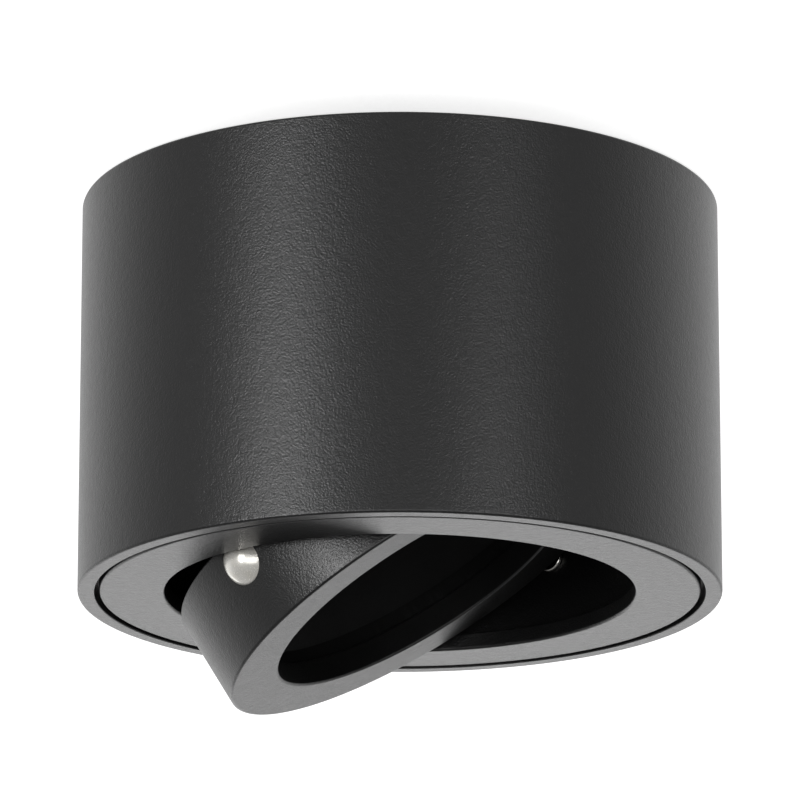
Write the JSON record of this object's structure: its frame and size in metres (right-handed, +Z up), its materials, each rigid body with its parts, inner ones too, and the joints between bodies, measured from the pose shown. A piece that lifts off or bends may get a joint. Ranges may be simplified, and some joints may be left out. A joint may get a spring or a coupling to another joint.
{
  "type": "ceiling spotlight",
  "caption": "Surface mounted ceiling spotlight: a black drum with a flush turning trim ring and a short round head that tilts in it.",
  "frame": {"origin": "middle of the face that meets the ceiling, on the drum's axis", "axes": "+Z up into the ceiling along the drum's axis, +Y along the tilt axis, +X the way the beam leans at rest"},
  "size_m": [0.096, 0.096, 0.0759],
  "materials": {
    "black_coat": "fine texture powder coat",
    "zinc_plate": "zinc plated sheet",
    "spring_steel": "bright spring steel",
    "bright_rivet": "nickel plated",
    "screw_steel": "zinc plated",
    "rubber_black": "matt",
    "terminal_plastic": "moulded",
    "clamp_plastic": "moulded",
    "brass": "turned",
    "nylon": "moulded",
    "black_plastic": "matt moulded",
    "frosted": "frosted",
    "reflector_bright": "vacuum coated",
    "board_white": "white solder mask",
    "phosphor": "phosphor gel",
    "pad_grey": "filled silicone",
    "sink_aluminium": "as extruded"
  },
  "bodies": {
    "drum": {"drum_shell": "black_coat", "base_plate": "zinc_plate", "base_plate_screws": "screw_steel", "cable_grommet": "rubber_black", "terminal_block": "terminal_plastic", "terminal_inserts": "brass", "terminal_screws": "screw_steel", "terminal_fixing_screws": "screw_steel", "cord_clamp": "clamp_plastic", "cord_clamp_screws": "screw_steel", "earth_screw": "brass", "earth_washer": "screw_steel"},
    "trim": {"trim_ring": "black_coat", "snap_clip_1": "spring_steel", "snap_clip_2": "spring_steel", "snap_clip_3": "spring_steel", "clip_rivets": "bright_rivet"},
    "head": {"head_ring": "black_coat", "yoke_strap": "zinc_plate", "yoke_rivets": "bright_rivet", "strap_screw": "screw_steel", "pivot_screws": "screw_steel", "friction_washers": "nylon", "spring_washers": "spring_steel", "glare_baffle": "black_plastic", "lens": "frosted", "reflector": "reflector_bright", "led_board": "board_white", "led_chip": "phosphor", "thermal_pad": "pad_grey", "heat_sink": "sink_aluminium", "heat_sink_screws": "screw_steel"}
  },
  "joints": [
    {"name": "swivel", "type": "hinge", "parent": "drum", "child": "trim", "pos_m": [0, 0, -0.06], "axis": [0, 0, 1], "range_deg": [-175, 175]},
    {"name": "tilt", "type": "hinge", "parent": "trim", "child": "head", "pos_m": [0, 0, -0.0534], "axis": [0, 1, 0], "range_deg": [0, 62]}
  ]
}
